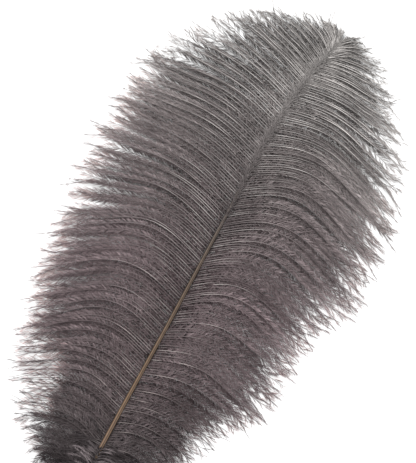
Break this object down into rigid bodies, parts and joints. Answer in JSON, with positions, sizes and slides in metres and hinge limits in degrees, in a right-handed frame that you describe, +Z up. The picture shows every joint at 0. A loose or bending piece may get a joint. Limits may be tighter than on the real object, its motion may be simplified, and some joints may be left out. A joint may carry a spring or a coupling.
{
  "type": "ostrich feather",
  "caption": "Soft grey ostrich plume lying on a surface: a long tapering shaft with a bare quill and a broad, loose, drooping vane of fluffy barbs on each side.",
  "frame": {"origin": "on the surface that the feather lies on, under the middle of the whole feather seen from above", "axes": "+Y along the shaft from the quill's end to the tip, +X to the feather's right seen from above, +Z up, away from the surface"},
  "size_m": [0.1766, 0.327, 0.0116],
  "materials": {
    "barbs": "soft matt keratin fluff, warm mauve-grey, darker towards the base",
    "shaft": "dull tan keratin with a faint satin sheen, greyer towards the tip"
  },
  "bodies": {
    "root": {"feather": "barbs"}
  },
  "joints": []
}
